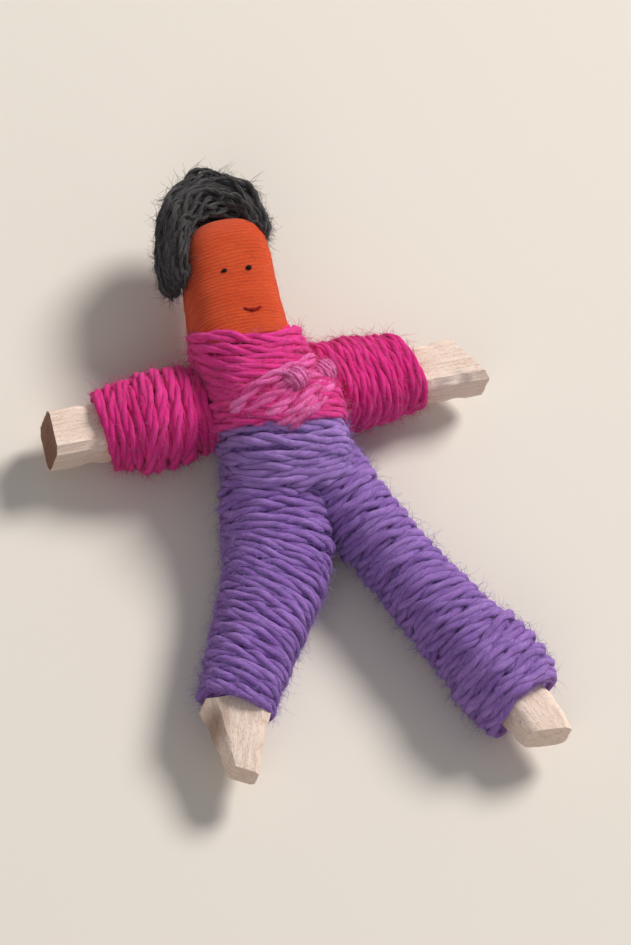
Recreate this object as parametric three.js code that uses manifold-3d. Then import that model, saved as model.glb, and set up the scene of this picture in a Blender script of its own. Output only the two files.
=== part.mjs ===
// A thread-wound stick doll about an inch long, lying on its back with its face up.
// Millimetres. X runs to the viewer's right, Y to the head and Z up from the surface it lies on.
// The origin is on that surface, under the place where the spine stick crosses the arm stick.
import * as THREE from 'three';
import { mergeVertices } from 'three/addons/utils/BufferGeometryUtils.js';
import Module from 'manifold-3d';

const wasm = await Module();
wasm.setup();

// Thread of the outer windings
const THREAD = 0.4;
const THREAD_SIDES = 6;
const TURN_PITCH = 0.85;
const TURN_STEPS = 18;
const REST_CUT_SHARE = 0.1;

// Clearances between pieces that touch on the real doll
const STICK_CLEARANCE = 0.08;
const THREAD_CLEARANCE = 0.06;
const LAYER_CLEARANCE = 0.1;
const CUT_OVERRUN = 1;

// Split wood sticks
const STICK_HEIGHT = 1.7;
const ARM_STICK_WIDTH = 1.9;
const LEG_STICK_WIDTH = 1.75;
const SPINE_STICK_WIDTH = 1.5;
const STICK_BEVEL_SHARE = 0.14;
const LEFT_HAND_REACH = 8.35;
const LEFT_HAND_LENGTH = 2;
const RIGHT_HAND_REACH = 8.4;
const RIGHT_HAND_LENGTH = 2.05;
const LEFT_HAND_SLANT_SHARE = 0.08;
const RIGHT_HAND_SLANT_SHARE = 0.6;
const SPINE_TOP = 6.2;
const SPINE_BOTTOM = 3.5;
const SPINE_WEDGE = 1.5;
const SPINE_WEDGE_SHARE = 0.45;

// Legs, measured from the point where their middle lines meet
const LEG_MEETING_SHIFT = 0.66;
const LEG_MEETING_DROP = 1.65;
const LEG_TOP_REACH = 0.05;
const LEG_TOP_SHARE = 0.72;
const LEFT_LEG_SPLAY_ANGLE = 24.5;
const LEFT_LEG_LENGTH = 14.4;
const LEFT_FOOT_LENGTH = 2.8;
const RIGHT_LEG_SPLAY_ANGLE = 24.3;
const RIGHT_LEG_LENGTH = 15.3;
const RIGHT_FOOT_LENGTH = 1.4;

// Snapped feet: each spreads to its outer side below the thread and is pared towards its inner side
const FOOT_SHOULDER = 0.3;
const LEFT_FOOT_SPREAD = 0.75;
const LEFT_FOOT_END_SHARE = 0.62;
const LEFT_FOOT_END_SHIFT = 0.26;
const LEFT_FOOT_SLANT_SHARE = 0.1;
const RIGHT_FOOT_SPREAD = 0.1;
const RIGHT_FOOT_END_SHARE = 0.85;
const RIGHT_FOOT_END_SHIFT = 0.1;
const RIGHT_FOOT_SLANT_SHARE = 0.55;

// Wound limbs: outer half widths over the thread, and where along the limb each one lies
const LIMB_SQUARENESS = 3;
const LIMB_THICKEST = STICK_HEIGHT + REST_CUT_SHARE * THREAD;
const SLEEVE_START = 2.3;
const SLEEVE_STATION_SHARES = [0, 0.5, 1];
const SLEEVE_WIDTH_SHARES = [0.954, 1, 0.862];
const SLEEVE_CORE_END_SHARE = 0.72;
const LEFT_LEG_TURNS = 8.5;
const LEFT_LEG_COVER_ANGLE = 5;
const LEFT_LEG_STATION_SHARES = [0, 0.4, 0.8, 1];
const LEFT_LEG_WIDTH_SHARES = [1.264, 1.264, 0.977, 0.862];
const LEFT_LEG_DEPTH_SHARES = [1, 1, 0.931, 0.862];
const RIGHT_LEG_TURNS = 11.5;
const RIGHT_LEG_COVER_ANGLE = 0;
const RIGHT_LEG_STATION_SHARES = [0, 0.45, 0.84, 1];
const RIGHT_LEG_WIDTH_SHARES = [0.874, 0.897, 1, 0.92];
const LEG_CORE_END_SHARE = 0.95;

// Shirt body
const SHIRT_FRONT_COVER = 0.87;
const SHIRT_SHIFT = 0.15;
const SHIRT_HALF_WIDTH = 2.4;
const SHIRT_HALF_LENGTH = 1.85;
const SHIRT_BOXINESS = 5;
const SHIRT_TURNS = 1.05;
const SHIRT_TURN_ANGLE = 42;
const COLLAR_TOP = 1.85;
const COLLAR_HALF_WIDTH = 1.1;

// Hips
const HIP_SHIFT = 0.15;
const HIP_FRONT_COVER = 0.67;
const HIP_LENGTH = 2.5;
const HIP_STATION_SHARES = [0, 0.5, 1];
const HIP_WAIST_HALF_WIDTH = 2.4;
const HIP_HALF_WIDTH = 2.65;
const HIP_LOW_HALF_WIDTH = 3.3;
const HIP_LOW_HALF_DEPTH = 1.95;
const HIP_TURNS = 2.5;
const HIP_WINDING_MIDDLE = 1.25;

// Face wrap
const FACE_CHIN_HALF_WIDTH = 1.66;
const FACE_BROW_HALF_WIDTH = 1.52;
const FACE_TOP = 6.75;
const FACE_DOME = 0.9;
const FACE_SQUARENESS = 3;
const FACE_SIDES = 28;
const FACE_DOME_RINGS = 4;

// Lashings of string that tie the sticks together
const LASHING_THICKNESS = 0.12;
const LASHING_WIDTH = 0.3;
const LASHING_CLEARANCE = 0.04;
const HIP_LASHING_DROP = 2.1;
const HIP_LASHING_REACH = 1.84;
const HIP_LASHING_DEPTH = 0.75;
const HIP_LASHING_BEVEL = 0.3;

// Hair strands: an inner row of three and an outer row of two
const HAIR_STRAND = 1;
const HAIR_SIDES = 8;
const HAIR_CLEARANCE = 0.06;
const HAIR_DROP_STEPS = 4;
const HAIR_ARCH_STEPS = 10;
const INNER_HAIR_OFFSET_SHARES = [-1, 0, 1];
const LEFT_LOCK_DROP = 1.65;
const LEFT_LOCK_DROP_SHARES = [0.55, 0.79, 1];
const RIGHT_LOCK_DROP = 0.3;
const RIGHT_LOCK_DROP_SHARES = [1, 0.67, 0.83];
const OUTER_HAIR_OFFSET_SHARES = [-0.5, 0.5];
const OUTER_HAIR_LEFT_ANGLES = [126, 118];
const OUTER_HAIR_RIGHT_ANGLES = [50, 58];

// Points round a core and along it
const CORE_SIDES = 20;
const CORE_STATIONS = 6;

const SURFACES = {
  wood: { color: 0xe2c8ad, roughness: 0.75, metalness: 0 },
  string: { color: 0xd9cdb8, roughness: 0.95, metalness: 0 },
  face: { color: 0xc94a22, roughness: 0.85, metalness: 0 },
  shirt: { color: 0xb9206a, roughness: 0.9, metalness: 0 },
  trousers: { color: 0x7357a2, roughness: 0.9, metalness: 0 },
  hair: { color: 0x2c2a2d, roughness: 0.95, metalness: 0 },
};

const UP = new THREE.Vector3(0, 0, 1);
const HALF = 1 / 2;
const QUARTER_TURN = Math.PI / 2;
const FULL_TURN = Math.PI * 2;
const SEARCH_ROUNDS = 40;

const doll = new THREE.Group();

function addPiece(name, shape, surface) {
  const geometry = shape.isBufferGeometry ? shape : toGeometry(shape);
  geometry.computeVertexNormals();
  const mesh = new THREE.Mesh(geometry, new THREE.MeshStandardMaterial(SURFACES[surface]));
  mesh.name = name;
  doll.add(mesh);
}

// Solids for cutting and joining

function toSolid(geometry) {
  const plain = geometry.clone();
  plain.deleteAttribute('normal');
  plain.deleteAttribute('uv');
  const merged = mergeVertices(plain);
  return new wasm.Manifold(new wasm.Mesh({
    numProp: 3,
    vertProperties: new Float32Array(merged.attributes.position.array),
    triVerts: new Uint32Array(merged.index.array),
  }));
}

function toGeometry(solid) {
  const mesh = solid.getMesh();
  const geometry = new THREE.BufferGeometry();
  geometry.setAttribute('position', new THREE.BufferAttribute(new Float32Array(mesh.vertProperties), 3));
  geometry.setIndex(new THREE.BufferAttribute(new Uint32Array(mesh.triVerts), 1));
  return geometry;
}

// Cuts a body and keeps its largest piece without the offcuts
function cutBy(solid, cutters) {
  const rest = cutters.reduce((left, cutter) => left.subtract(cutter), solid);
  const bodies = rest.decompose();
  return bodies.reduce((largest, body) => (body.volume() > largest.volume() ? body : largest));
}

// Frames: along equals across times up, so a ring that turns from across to up faces outwards

function frameFrom(origin, along) {
  return { origin, along, across: UP.clone().cross(along), up: UP.clone() };
}

function place(frame, distance, sideways, upwards) {
  return frame.origin.clone()
    .addScaledVector(frame.along, distance)
    .addScaledVector(frame.across, sideways)
    .addScaledVector(frame.up, upwards);
}

function middleOf(ring) {
  const sum = ring.reduce((total, point) => total.add(point), new THREE.Vector3());
  return sum.divideScalar(ring.length);
}

// Joins rings of points into one closed surface with a fan over each end
function skin(rings) {
  const count = rings[0].length;
  const lastRow = (rings.length - 1) * count;
  const points = [...rings.flat(), middleOf(rings[0]), middleOf(rings[rings.length - 1])];
  const startMiddle = points.length - 2;
  const endMiddle = points.length - 1;
  const faces = [];
  for (let column = 0; column < count; column += 1) {
    const next = (column + 1) % count;
    faces.push(startMiddle, next, column);
    faces.push(endMiddle, lastRow + column, lastRow + next);
    for (let row = 0; row < lastRow; row += count) {
      faces.push(row + column, row + next, row + next + count);
      faces.push(row + column, row + next + count, row + column + count);
    }
  }
  const geometry = new THREE.BufferGeometry();
  const places = points.flatMap((point) => point.toArray());
  geometry.setAttribute('position', new THREE.Float32BufferAttribute(places, 3));
  geometry.setIndex(faces);
  return geometry;
}

// Widths at given shares of a length, blended smoothly between them
function smoothProfile(length, shares, widths) {
  return (distance) => {
    const share = THREE.MathUtils.clamp(distance / length, 0, 1);
    const high = shares.findIndex((station, index) => index > 0 && share <= station);
    const blend = THREE.MathUtils.smoothstep(share, shares[high - 1], shares[high]);
    return THREE.MathUtils.lerp(widths[high - 1], widths[high], blend);
  };
}

// Distance from the middle of a rounded square section to its edge
function sectionReach(angle, wide, tall, squareness) {
  const across = Math.abs(Math.cos(angle) / wide) ** squareness;
  const upwards = Math.abs(Math.sin(angle) / tall) ** squareness;
  return (across + upwards) ** (-1 / squareness);
}

function sectionPoint(frame, distance, angle, wide, tall, squareness) {
  const reach = sectionReach(angle, wide, tall, squareness);
  return place(frame, distance, Math.cos(angle) * reach, Math.sin(angle) * reach);
}

function turnAngles(sides) {
  return Array.from({ length: sides }, (_, index) => (index / sides) * FULL_TURN);
}

// Sticks

function stickRing(frame, distance, half, lean, shift = 0, stretch = 1) {
  const flat = half * (1 - 2 * STICK_BEVEL_SHARE);
  const corners = [
    [half, -flat], [half, flat], [flat, half], [-flat, half],
    [-half, flat], [-half, -flat], [-flat, -half], [flat, -half],
  ];
  return corners.map(([sideways, upwards]) => (
    place(frame, distance + lean * sideways, shift + stretch * sideways, upwards)));
}

function stick(frame, start, end, half) {
  return skin([stickRing(frame, start, half, 0), stickRing(frame, end, half, 0)]);
}

const armHalf = ARM_STICK_WIDTH * HALF;
const legHalf = LEG_STICK_WIDTH * HALF;
const spineHalf = SPINE_STICK_WIDTH * HALF;
const spineHeight = STICK_HEIGHT + armHalf + LAYER_CLEARANCE + spineHalf;

const shirtHeight = (spineHeight + spineHalf + SHIRT_FRONT_COVER) * HALF;
const shirtHalfDepth = shirtHeight + REST_CUT_SHARE * THREAD;
const hipHeight = (spineHeight + spineHalf + HIP_FRONT_COVER) * HALF;
const hipHalfDepth = hipHeight + REST_CUT_SHARE * THREAD;

const armFrame = frameFrom(new THREE.Vector3(0, 0, STICK_HEIGHT), new THREE.Vector3(1, 0, 0));
const spineFrame = frameFrom(new THREE.Vector3(0, 0, spineHeight), new THREE.Vector3(0, 1, 0));

function armStick() {
  return skin([
    stickRing(armFrame, -LEFT_HAND_REACH, armHalf, LEFT_HAND_SLANT_SHARE),
    stickRing(armFrame, RIGHT_HAND_REACH, armHalf, -RIGHT_HAND_SLANT_SHARE),
  ]);
}

// The spine's lower end is pared to a wedge on its front
function spineStick() {
  const end = stickRing(spineFrame, -SPINE_BOTTOM, spineHalf, 0);
  end.forEach((point) => {
    const height = point.z - (spineHeight - spineHalf);
    point.z -= height * (1 - SPINE_WEDGE_SHARE);
  });
  return skin([
    end,
    stickRing(spineFrame, SPINE_WEDGE - SPINE_BOTTOM, spineHalf, 0),
    stickRing(spineFrame, SPINE_TOP, spineHalf, 0),
  ]);
}

// Everything on one side of the line where the two legs meet
function sideBlock(direction, clearance) {
  const reach = (LEFT_LEG_LENGTH + RIGHT_LEG_LENGTH) * 2;
  const block = new THREE.BoxGeometry(reach, reach, reach);
  block.translate(LEG_MEETING_SHIFT + direction * (reach * HALF - clearance), 0, 0);
  return toSolid(block);
}

// The surface that the doll lies on, as a cutter
function restBlock() {
  const reach = (LEFT_LEG_LENGTH + RIGHT_LEG_LENGTH) * 2;
  const block = new THREE.BoxGeometry(reach, reach, CUT_OVERRUN);
  block.translate(0, 0, -CUT_OVERRUN * HALF);
  return toSolid(block);
}

// Thread

// Rings of a round tube along points, each with a facet that faces away from its hub inside the winding
function tubeRings(points, hubs, radius, sides) {
  return points.map((point, index) => {
    const before = points[Math.max(index - 1, 0)];
    const after = points[Math.min(index + 1, points.length - 1)];
    const tangent = after.clone().sub(before).normalize();
    const outward = point.clone().sub(hubs[index]);
    outward.addScaledVector(tangent, -outward.dot(tangent)).normalize();
    const sideways = tangent.clone().cross(outward);
    return turnAngles(sides).map((turned) => {
      const angle = turned + Math.PI / sides;
      return point.clone()
        .addScaledVector(outward, Math.cos(angle) * radius)
        .addScaledVector(sideways, Math.sin(angle) * radius);
    });
  });
}

function leastGap(rings, apart) {
  let least = Infinity;
  rings.forEach((ring, index) => {
    rings.slice(index + apart).flat().forEach((far) => {
      ring.forEach((near) => {
        least = Math.min(least, near.distanceTo(far));
      });
    });
  });
  return least;
}

// One unbroken thread round a frame. Each turn has a level chord at its lowest place.
function windThread(name, frame, middle, turns, centreAt) {
  const steps = Math.round(turns * TURN_STEPS);
  const points = [];
  const hubs = [];
  for (let step = 0; step <= steps; step += 1) {
    const turned = (step - steps * HALF) / TURN_STEPS;
    const distance = middle + turned * TURN_PITCH;
    points.push(centreAt(distance, turned * FULL_TURN - QUARTER_TURN));
    hubs.push(place(frame, distance, 0, 0));
  }
  const startWay = points[0].clone().sub(points[1]).normalize();
  const endWay = points[steps].clone().sub(points[steps - 1]).normalize();
  points.unshift(points[0].clone().addScaledVector(startWay, THREAD));
  points.push(points[points.length - 1].clone().addScaledVector(endWay, THREAD));
  hubs.unshift(hubs[0]);
  hubs.push(hubs[hubs.length - 1]);
  const rings = tubeRings(points, hubs, THREAD * HALF, THREAD_SIDES);
  const gap = leastGap(rings, TURN_STEPS * HALF);
  console.log(`${name}: ${turns} turns, least gap of the thread to itself ${gap.toFixed(3)} mm`);
  return toSolid(skin(rings)).subtract(restBlock());
}

const threadFlat = THREAD * Math.cos(Math.PI / THREAD_SIDES);
const coreInset = threadFlat + THREAD_CLEARANCE;

// Cores

function core(frame, start, end, wideAt, tallAt, inset) {
  const rings = Array.from({ length: CORE_STATIONS + 1 }, (_, index) => {
    const distance = THREE.MathUtils.lerp(start, end, index / CORE_STATIONS);
    const wide = wideAt(distance) - inset;
    const tall = tallAt(distance) - inset;
    return turnAngles(CORE_SIDES).map((angle) => (
      sectionPoint(frame, distance, angle, wide, tall, LIMB_SQUARENESS)));
  });
  return toSolid(skin(rings));
}

function windCore(name, frame, middle, turns, wideAt, tallAt) {
  return windThread(name, frame, middle, turns, (distance, angle) => {
    const wide = wideAt(distance) - threadFlat * HALF;
    const tall = tallAt(distance) - threadFlat * HALF;
    return sectionPoint(frame, distance, angle, wide, tall, LIMB_SQUARENESS);
  });
}

const armHole = toSolid(stick(armFrame, -LEFT_HAND_REACH, RIGHT_HAND_REACH, armHalf + STICK_CLEARANCE));
const spineHole = toSolid(stick(spineFrame, -SPINE_BOTTOM - STICK_CLEARANCE, SPINE_TOP + STICK_CLEARANCE,
  spineHalf + STICK_CLEARANCE));

function limbWidths(shares) {
  return shares.map((share) => LIMB_THICKEST * share);
}

// Whole turns and a half that fit a length
function turnsOver(length) {
  return Math.floor(length / TURN_PITCH - HALF) + HALF;
}

// Sleeves

function addSleeve(side, direction, length) {
  const origin = new THREE.Vector3(direction * SLEEVE_START, 0, STICK_HEIGHT);
  const frame = frameFrom(origin, new THREE.Vector3(direction, 0, 0));
  const profile = smoothProfile(length, SLEEVE_STATION_SHARES, limbWidths(SLEEVE_WIDTH_SHARES));
  const whole = core(frame, 0, length * SLEEVE_CORE_END_SHARE, profile, profile, coreInset);
  addPiece(`${side}_sleeve_core`, whole.subtract(armHole), 'shirt');
  const name = `${side}_sleeve_winding`;
  addPiece(name, windCore(name, frame, length * HALF, turnsOver(length), profile, profile), 'shirt');
}

// Lashings: thin bands of string round the outline of the sticks that they tie

const spineUpper = spineHeight + spineHalf;
const armLower = STICK_HEIGHT - armHalf;
const armUpper = STICK_HEIGHT + armHalf;

function lashingShape(outline, grow) {
  return outline.map(([sideways, height]) => new THREE.Vector2(
    sideways + Math.sign(sideways) * grow,
    height + Math.sign(height - spineHeight * HALF) * grow,
  ));
}

function lashingSolid(outline, grow, hollow, width, distance, turn) {
  const shape = new THREE.Shape(lashingShape(outline, grow));
  if (hollow) {
    shape.holes.push(new THREE.Path(lashingShape(outline, LASHING_CLEARANCE)));
  }
  const band = new THREE.ExtrudeGeometry(shape, { depth: width, bevelEnabled: false });
  band.translate(0, 0, -width * HALF);
  band.rotateX(QUARTER_TURN);
  band.rotateZ(turn);
  band.translate(0, distance, 0);
  return toSolid(band);
}

function lashing(outline, distance, turn) {
  return lashingSolid(outline, LASHING_CLEARANCE + LASHING_THICKNESS, true, LASHING_WIDTH, distance, turn);
}

function lashingHole(outline, distance, turn) {
  const width = LASHING_WIDTH + LASHING_CLEARANCE * 2;
  return lashingSolid(outline, LASHING_CLEARANCE * 2 + LASHING_THICKNESS, false, width, distance, turn);
}

// The chest lashing crosses both ways over the diagonals of the crossed sticks
const bevelDiagonal = ARM_STICK_WIDTH * STICK_BEVEL_SHARE * Math.SQRT2;
const spineDiagonal = spineHalf * Math.SQRT2 + LASHING_WIDTH * HALF;
const armDiagonal = armHalf * Math.SQRT2 + LASHING_WIDTH * HALF;
const spineShoulder = spineUpper - SPINE_STICK_WIDTH * STICK_BEVEL_SHARE;
const chestOutline = [
  [armDiagonal - bevelDiagonal, armLower],
  [armDiagonal, armLower + ARM_STICK_WIDTH * STICK_BEVEL_SHARE],
  [armDiagonal, armUpper],
  [spineDiagonal, spineShoulder],
  [spineDiagonal - bevelDiagonal, spineUpper],
  [bevelDiagonal - spineDiagonal, spineUpper],
  [-spineDiagonal, spineShoulder],
  [-armDiagonal, armUpper],
  [-armDiagonal, armLower + ARM_STICK_WIDTH * STICK_BEVEL_SHARE],
  [bevelDiagonal - armDiagonal, armLower],
];
const diagonal = QUARTER_TURN * HALF;
const chestLashing = lashing(chestOutline, 0, diagonal).add(lashing(chestOutline, 0, -diagonal));
const chestHole = lashingHole(chestOutline, 0, diagonal).add(lashingHole(chestOutline, 0, -diagonal));

// The hip lashing goes round the spine and both leg tops
const hipLashingLower = STICK_HEIGHT - HIP_LASHING_DEPTH;
const hipOutline = [
  [HIP_LASHING_REACH - HIP_LASHING_BEVEL, hipLashingLower],
  [HIP_LASHING_REACH, hipLashingLower + HIP_LASHING_BEVEL],
  [HIP_LASHING_REACH, STICK_HEIGHT + legHalf],
  [spineHalf, spineUpper],
  [-spineHalf, spineUpper],
  [-spineHalf, hipLashingLower],
];
const hipLashing = lashing(hipOutline, -HIP_LASHING_DROP, 0);
const hipLashingHole = lashingHole(hipOutline, -HIP_LASHING_DROP, 0);

// Shirt body

const shirtCentre = new THREE.Vector3(0, SHIRT_SHIFT, shirtHeight);

// Distance from a place inside the shirt to its surface, which lies a given inset below the outside
function shirtReach(origin, direction, inset) {
  let low = 0;
  let high = SHIRT_HALF_WIDTH + shirtHalfDepth;
  for (let round = 0; round < SEARCH_ROUNDS; round += 1) {
    const middle = (low + high) * HALF;
    const point = origin.clone().addScaledVector(direction, middle).sub(shirtCentre);
    const across = point.x / (SHIRT_HALF_WIDTH - inset);
    const depth = point.z / (shirtHalfDepth - inset);
    const along = point.y / (SHIRT_HALF_LENGTH - inset);
    const level = Math.hypot(across, depth) ** SHIRT_BOXINESS + Math.abs(along) ** SHIRT_BOXINESS;
    if (level < 1) {
      low = middle;
    } else {
      high = middle;
    }
  }
  return low;
}

function shirtPoint(frame, distance, angle, inset) {
  const hub = place(frame, distance, 0, 0);
  const direction = place(frame, distance, Math.cos(angle), Math.sin(angle)).sub(hub);
  return hub.addScaledVector(direction, shirtReach(hub, direction, inset));
}

function shirtCore() {
  const frame = frameFrom(shirtCentre, new THREE.Vector3(0, 1, 0));
  const inset = coreInset + LAYER_CLEARANCE;
  const reach = SHIRT_HALF_LENGTH - inset;
  const body = Array.from({ length: CORE_STATIONS * 2 - 1 }, (_, index) => {
    const share = (index + 1) / CORE_STATIONS - 1;
    const distance = reach * Math.sin(share * QUARTER_TURN);
    return turnAngles(CORE_SIDES).map((angle) => shirtPoint(frame, distance, angle, inset));
  });
  const spine = frameFrom(new THREE.Vector3(0, 0, spineHeight), new THREE.Vector3(0, 1, 0));
  const collar = core(spine, 0, COLLAR_TOP, () => COLLAR_HALF_WIDTH, () => COLLAR_HALF_WIDTH, 0);
  return cutBy(toSolid(skin(body)).add(collar), [armHole, spineHole, chestHole, ...legHoles]);
}

function shirtWinding(name) {
  const lean = THREE.MathUtils.degToRad(SHIRT_TURN_ANGLE);
  const crossing = new THREE.Vector3(0, 0, shirtHeight);
  const frame = frameFrom(crossing, new THREE.Vector3(-Math.sin(lean), Math.cos(lean), 0));
  return windThread(name, frame, 0, SHIRT_TURNS, (distance, angle) => (
    shirtPoint(frame, distance, angle, threadFlat * HALF)));
}

// Hips

const hipTop = SHIRT_SHIFT - SHIRT_HALF_LENGTH - LAYER_CLEARANCE;
const hipFrame = frameFrom(new THREE.Vector3(HIP_SHIFT, hipTop, hipHeight), new THREE.Vector3(0, -1, 0));
const hipWidths = [HIP_WAIST_HALF_WIDTH, HIP_HALF_WIDTH, HIP_LOW_HALF_WIDTH];
const hipDepths = [hipHalfDepth, hipHalfDepth, HIP_LOW_HALF_DEPTH];
const hipWideAt = smoothProfile(HIP_LENGTH, HIP_STATION_SHARES, hipWidths);
const hipTallAt = smoothProfile(HIP_LENGTH, HIP_STATION_SHARES, hipDepths);
const hipSpace = core(hipFrame, -CUT_OVERRUN, HIP_LENGTH + THREAD, hipWideAt, hipTallAt, -THREAD_CLEARANCE);

// Legs

function legWay(direction, degrees) {
  const angle = THREE.MathUtils.degToRad(degrees);
  return new THREE.Vector3(direction * Math.sin(angle), -Math.cos(angle), 0);
}

// The widest place of a foot and its end
function footRings(frame, widest, leg) {
  const spread = leg.footSpread * HALF;
  const inward = -leg.direction * leg.footEndShift;
  return [
    stickRing(frame, widest, legHalf, 0, leg.direction * spread, 1 + spread / legHalf),
    stickRing(frame, leg.length, legHalf * leg.footEndShare, leg.footSlantShare, inward),
  ];
}

// A leg's cover may lie at a small angle to its stick, and they meet at the ankle
function addLeg(side, leg) {
  const meeting = new THREE.Vector3(LEG_MEETING_SHIFT, -LEG_MEETING_DROP, STICK_HEIGHT);
  const frame = frameFrom(meeting, legWay(leg.direction, leg.splay));
  const ankle = leg.length - leg.foot;
  const coverWay = legWay(leg.direction, leg.splay + leg.coverTurn);
  const cover = frameFrom(place(frame, ankle, 0, 0).addScaledVector(coverWay, -ankle), coverWay);
  const wood = toSolid(skin([
    stickRing(frame, -LEG_TOP_REACH, legHalf * LEG_TOP_SHARE, 0),
    stickRing(frame, ankle, legHalf, 0),
    ...footRings(frame, ankle + FOOT_SHOULDER, leg),
  ]));
  const farSide = sideBlock(-leg.direction, LAYER_CLEARANCE * HALF);
  addPiece(`${side}_leg_stick`, wood.subtract(farSide), 'wood');
  const hole = toSolid(stick(frame, -LEG_TOP_REACH - STICK_CLEARANCE, leg.length, legHalf + STICK_CLEARANCE));
  const wideAt = smoothProfile(ankle, leg.shares, limbWidths(leg.widthShares));
  const tallAt = smoothProfile(ankle, leg.shares, limbWidths(leg.depthShares));
  const whole = core(cover, 0, ankle * LEG_CORE_END_SHARE, wideAt, tallAt, coreInset);
  addPiece(`${side}_leg_core`, cutBy(whole, [hole, hipSpace, farSide]), 'trousers');
  const name = `${side}_leg_winding`;
  const middle = ankle - (leg.turns * TURN_PITCH + THREAD) * HALF;
  addPiece(name, windCore(name, cover, middle, leg.turns, wideAt, tallAt), 'trousers');
  return hole.subtract(farSide);
}

const legHoles = [
  ['left', {
    direction: -1,
    splay: LEFT_LEG_SPLAY_ANGLE,
    length: LEFT_LEG_LENGTH,
    foot: LEFT_FOOT_LENGTH,
    footSpread: LEFT_FOOT_SPREAD,
    footEndShare: LEFT_FOOT_END_SHARE,
    footEndShift: LEFT_FOOT_END_SHIFT,
    footSlantShare: LEFT_FOOT_SLANT_SHARE,
    coverTurn: LEFT_LEG_COVER_ANGLE,
    turns: LEFT_LEG_TURNS,
    shares: LEFT_LEG_STATION_SHARES,
    widthShares: LEFT_LEG_WIDTH_SHARES,
    depthShares: LEFT_LEG_DEPTH_SHARES,
  }],
  ['right', {
    direction: 1,
    splay: RIGHT_LEG_SPLAY_ANGLE,
    length: RIGHT_LEG_LENGTH,
    foot: RIGHT_FOOT_LENGTH,
    footSpread: RIGHT_FOOT_SPREAD,
    footEndShare: RIGHT_FOOT_END_SHARE,
    footEndShift: RIGHT_FOOT_END_SHIFT,
    footSlantShare: RIGHT_FOOT_SLANT_SHARE,
    coverTurn: RIGHT_LEG_COVER_ANGLE,
    turns: RIGHT_LEG_TURNS,
    shares: RIGHT_LEG_STATION_SHARES,
    widthShares: RIGHT_LEG_WIDTH_SHARES,
    depthShares: RIGHT_LEG_WIDTH_SHARES,
  }],
].map(([side, leg]) => addLeg(side, leg));

function hipCore() {
  const whole = core(hipFrame, 0, HIP_LENGTH, hipWideAt, hipTallAt, coreInset);
  return cutBy(whole, [spineHole, hipLashingHole, ...legHoles]);
}

function hipWinding(name) {
  return windCore(name, hipFrame, HIP_WINDING_MIDDLE, HIP_TURNS, hipWideAt, hipTallAt);
}

// Face wrap: a smooth sleeve of fine thread with a rounded top, open at the neck

function faceHalfAt(height) {
  const share = (height - COLLAR_TOP) / (FACE_TOP - FACE_DOME - COLLAR_TOP);
  return THREE.MathUtils.lerp(FACE_CHIN_HALF_WIDTH, FACE_BROW_HALF_WIDTH, THREE.MathUtils.clamp(share, 0, 1));
}

function faceWrap() {
  const domeBase = FACE_TOP - FACE_DOME;
  const stations = [[COLLAR_TOP + STICK_CLEARANCE, FACE_CHIN_HALF_WIDTH]];
  for (let ring = 0; ring < FACE_DOME_RINGS; ring += 1) {
    const angle = (ring / FACE_DOME_RINGS) * QUARTER_TURN;
    stations.push([domeBase + FACE_DOME * Math.sin(angle), FACE_BROW_HALF_WIDTH * Math.cos(angle)]);
  }
  const rings = stations.map(([height, half]) => turnAngles(FACE_SIDES).map((angle) => (
    sectionPoint(spineFrame, height, angle, half, half, FACE_SQUARENESS))));
  return toSolid(skin(rings)).subtract(spineHole);
}

// Hair: strands of yarn that hang over the crown from one side of the head to the other

const hairSpacing = HAIR_STRAND + HAIR_CLEARANCE;
const hairRowRise = hairSpacing * Math.sqrt(1 - HALF ** 2);
const archBase = FACE_TOP - FACE_DOME;

// Sideways reach of a strand that lies against the head at a height and an offset towards the front
function hairReach(height, offset) {
  const half = faceHalfAt(height);
  const side = half * (1 - Math.abs(offset / half) ** FACE_SQUARENESS) ** (1 / FACE_SQUARENESS);
  return side + HAIR_CLEARANCE + HAIR_STRAND * HALF;
}

function hairStrand(route, offset) {
  const z = spineHeight + offset;
  const points = route.map(([x, y]) => new THREE.Vector3(x, y, z));
  const hubs = route.map(([, y]) => new THREE.Vector3(0, Math.min(y, archBase), z));
  return skin(tubeRings(points, hubs, HAIR_STRAND * HALF, HAIR_SIDES));
}

function hairArch(offset, rise, startAngle, endAngle) {
  const wide = hairReach(archBase, offset) + rise;
  const tall = FACE_DOME + HAIR_CLEARANCE + HAIR_STRAND * HALF + rise;
  return Array.from({ length: HAIR_ARCH_STEPS + 1 }, (_, index) => {
    const angle = THREE.MathUtils.degToRad(THREE.MathUtils.lerp(startAngle, endAngle, index / HAIR_ARCH_STEPS));
    return [Math.cos(angle) * wide, archBase + Math.sin(angle) * tall];
  });
}

function hairDrop(offset, direction, drop) {
  return Array.from({ length: HAIR_DROP_STEPS }, (_, index) => {
    const height = archBase - drop * ((index + 1) / HAIR_DROP_STEPS);
    return [direction * hairReach(height, offset), height];
  });
}

INNER_HAIR_OFFSET_SHARES.forEach((share, index) => {
  const offset = share * hairSpacing;
  const left = hairDrop(offset, -1, LEFT_LOCK_DROP * LEFT_LOCK_DROP_SHARES[index]).reverse();
  const right = hairDrop(offset, 1, RIGHT_LOCK_DROP * RIGHT_LOCK_DROP_SHARES[index]);
  const route = [...left, ...hairArch(offset, 0, 180, 0), ...right];
  addPiece(`inner_hair_strand_${index + 1}`, hairStrand(route, offset), 'hair');
});

OUTER_HAIR_OFFSET_SHARES.forEach((share, index) => {
  const offset = share * hairSpacing;
  const route = hairArch(0, hairRowRise, OUTER_HAIR_LEFT_ANGLES[index], OUTER_HAIR_RIGHT_ANGLES[index]);
  addPiece(`outer_hair_strand_${index + 1}`, hairStrand(route, offset), 'hair');
});

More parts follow.
